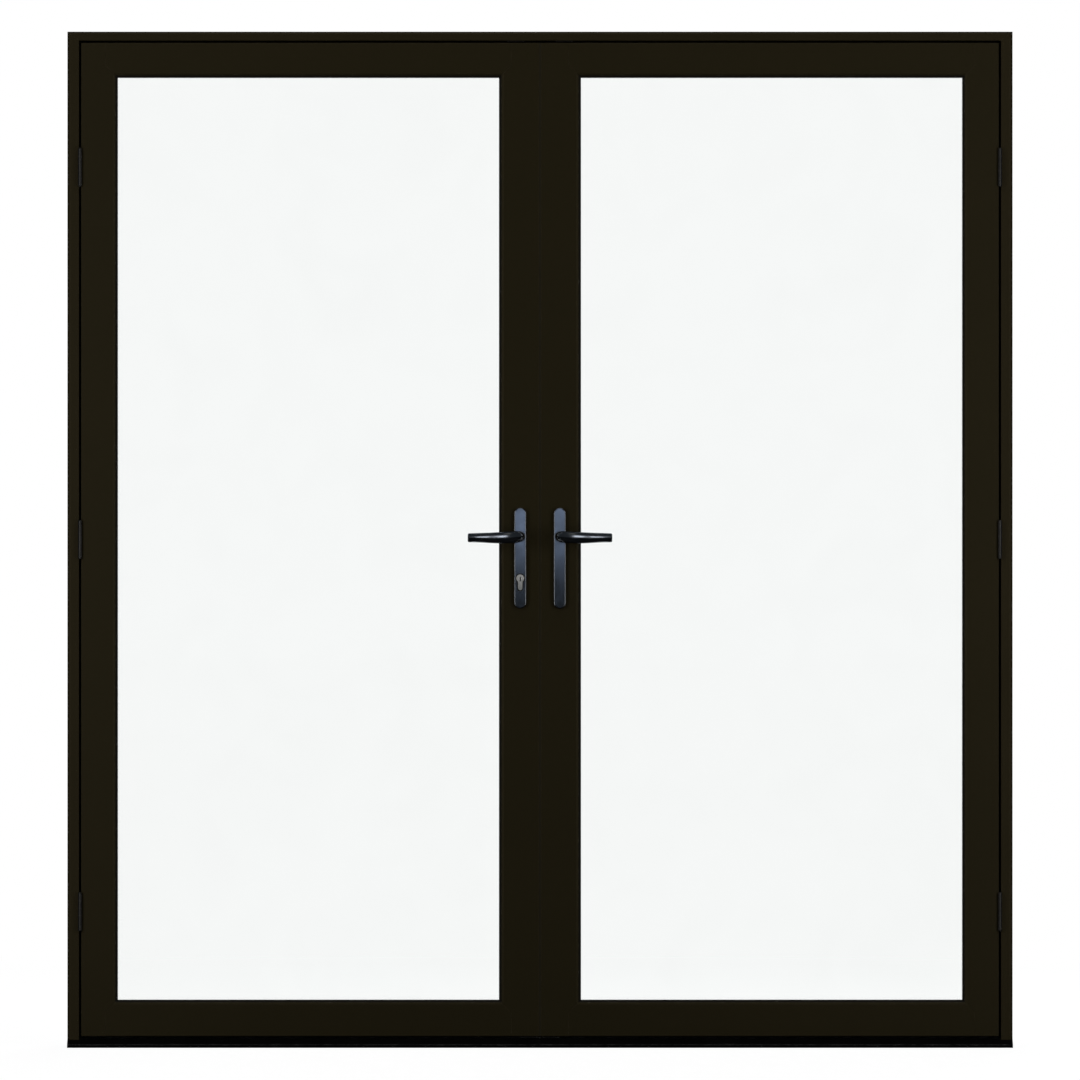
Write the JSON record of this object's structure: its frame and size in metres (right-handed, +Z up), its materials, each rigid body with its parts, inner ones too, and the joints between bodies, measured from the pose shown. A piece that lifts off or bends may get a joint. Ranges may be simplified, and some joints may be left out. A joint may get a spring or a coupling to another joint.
{
  "type": "french doors",
  "caption": "Outward-opening pair of slim glazed aluminium doors in a hollow frame with a sloping sill, lever handles and rack-driven shoot bolts.",
  "frame": {"origin": "middle of the sill's underside in the plane of the frame's outside face", "axes": "+Z up, +Y from outside to inside, +X to the right seen from outside"},
  "size_m": [1.914, 0.1575, 2.057],
  "materials": {
    "frame_bronze": "satin dark bronze powder coat",
    "leaf_bronze": "satin dark bronze powder coat",
    "sill_black": "black anodised",
    "cast_key": "mill",
    "seal_rubber": "matte",
    "gasket_rubber": "matte",
    "edge_rubber": "matte",
    "hinge_black": "satin black",
    "handle_black": "gloss black",
    "zinc_steel": "zinc plated",
    "stainless": "brushed",
    "nickel": "satin nickel",
    "spacer_dark": "matte",
    "black_nylon": "matte",
    "glass": "clear"
  },
  "bodies": {
    "frame": {"jamb_left": "frame_bronze", "jamb_right": "frame_bronze", "head": "frame_bronze", "sill": "sill_black", "frame_corner_keys": "cast_key", "frame_seals": "seal_rubber", "frame_hinge_halves": "hinge_black", "hinge_pins": "hinge_black", "frame_screws": "zinc_steel", "bolt_keeps": "hinge_black"},
    "active_leaf": {"active_hinge_stile": "leaf_bronze", "active_lock_stile": "leaf_bronze", "active_top_rail": "leaf_bronze", "active_bottom_rail": "leaf_bronze", "active_corner_blocks": "cast_key", "active_glass_panes": "glass", "active_glass_spacer": "spacer_dark", "active_glazing_rubbers": "gasket_rubber", "active_glazing_beads": "leaf_bronze", "active_hinge_halves": "hinge_black", "active_leaf_screws": "zinc_steel", "active_leaf_seals": "edge_rubber", "active_stile_caps": "black_nylon", "active_gear_case": "zinc_steel", "active_faceplate": "stainless", "active_outer_plate": "handle_black", "active_inner_plate": "handle_black", "active_lock_cylinder": "nickel"},
    "active_levers": {"active_outer_lever": "handle_black", "active_inner_lever": "handle_black", "active_spindle_gear": "zinc_steel"},
    "active_pinion": {"active_reversing_pinion": "zinc_steel"},
    "active_lower_rod": {"active_lower_bolt": "zinc_steel"},
    "active_upper_rod": {"active_upper_bolt": "zinc_steel"},
    "inactive_leaf": {"inactive_hinge_stile": "leaf_bronze", "inactive_lock_stile": "leaf_bronze", "inactive_top_rail": "leaf_bronze", "inactive_bottom_rail": "leaf_bronze", "inactive_corner_blocks": "cast_key", "inactive_glass_panes": "glass", "inactive_glass_spacer": "spacer_dark", "inactive_glazing_rubbers": "gasket_rubber", "inactive_glazing_beads": "leaf_bronze", "inactive_hinge_halves": "hinge_black", "inactive_leaf_screws": "zinc_steel", "inactive_leaf_seals": "edge_rubber", "inactive_stile_caps": "black_nylon", "inactive_gear_case": "zinc_steel", "inactive_faceplate": "stainless", "inactive_outer_plate": "handle_black", "inactive_inner_plate": "handle_black"},
    "inactive_levers": {"inactive_outer_lever": "handle_black", "inactive_inner_lever": "handle_black", "inactive_spindle_gear": "zinc_steel"},
    "inactive_pinion": {"inactive_reversing_pinion": "zinc_steel"},
    "inactive_lower_rod": {"inactive_lower_bolt": "zinc_steel"},
    "inactive_upper_rod": {"inactive_upper_bolt": "zinc_steel"},
    "key_turn": {"active_cylinder_plug": "nickel"},
    "dead_bolt": {"active_dead_bolt": "stainless"}
  },
  "joints": [
    {"name": "active_leaf_swing", "type": "hinge", "parent": "frame", "child": "active_leaf", "pos_m": [-0.93125, -0.005, 1.0285], "axis": [0, 0, -1], "range_deg": [0, 170]},
    {"name": "active_lever_turn", "type": "hinge", "parent": "active_leaf", "child": "active_levers", "pos_m": [-0.04, 0.0225, 1.035], "axis": [0, 1, 0], "range_deg": [0, 60]},
    {"name": "active_pinion_turn", "type": "hinge", "parent": "active_leaf", "child": "active_pinion", "pos_m": [-0.0355, 0.018, 1.06327], "axis": [0, 1, 0], "range_deg": [0, 90]},
    {"name": "active_lower_bolt_slide", "type": "slide", "parent": "active_leaf", "child": "active_lower_rod", "axis": [0, 0, -1], "range_m": [0, 0.0142]},
    {"name": "active_upper_bolt_slide", "type": "slide", "parent": "active_leaf", "child": "active_upper_rod", "axis": [0, 0, 1], "range_m": [0, 0.0142]},
    {"name": "inactive_leaf_swing", "type": "hinge", "parent": "frame", "child": "inactive_leaf", "pos_m": [0.93125, -0.005, 1.0285], "axis": [0, 0, 1], "range_deg": [0, 170]},
    {"name": "inactive_lever_turn", "type": "hinge", "parent": "inactive_leaf", "child": "inactive_levers", "pos_m": [0.04, 0.0225, 1.035], "axis": [0, -1, 0], "range_deg": [0, 60]},
    {"name": "inactive_pinion_turn", "type": "hinge", "parent": "inactive_leaf", "child": "inactive_pinion", "pos_m": [0.0355, 0.018, 1.06327], "axis": [0, -1, 0], "range_deg": [0, 90]},
    {"name": "inactive_lower_bolt_slide", "type": "slide", "parent": "inactive_leaf", "child": "inactive_lower_rod", "axis": [0, 0, -1], "range_m": [0, 0.0142]},
    {"name": "inactive_upper_bolt_slide", "type": "slide", "parent": "inactive_leaf", "child": "inactive_upper_rod", "axis": [0, 0, 1], "range_m": [0, 0.0142]},
    {"name": "key_turn", "type": "hinge", "parent": "active_leaf", "child": "key_turn", "pos_m": [-0.04, 0.0225, 0.95], "axis": [0, 1, 0], "range_deg": [0, 360]},
    {"name": "dead_bolt_throw", "type": "slide", "parent": "active_leaf", "child": "dead_bolt", "axis": [1, 0, 0], "range_m": [0, 0.0181]}
  ],
  "couplings": [
    {"joint": "active_pinion_turn", "follows": "active_lever_turn", "ratio": 1.5},
    {"joint": "active_lower_bolt_slide", "follows": "active_lever_turn", "m_per_rad": 0.0135},
    {"joint": "active_upper_bolt_slide", "follows": "active_lever_turn", "m_per_rad": 0.0135},
    {"joint": "inactive_pinion_turn", "follows": "inactive_lever_turn", "ratio": 1.5},
    {"joint": "inactive_lower_bolt_slide", "follows": "inactive_lever_turn", "m_per_rad": 0.0135},
    {"joint": "inactive_upper_bolt_slide", "follows": "inactive_lever_turn", "m_per_rad": 0.0135},
    {"joint": "dead_bolt_throw", "follows": "key_turn", "m_per_rad": 0.0028648}
  ]
}
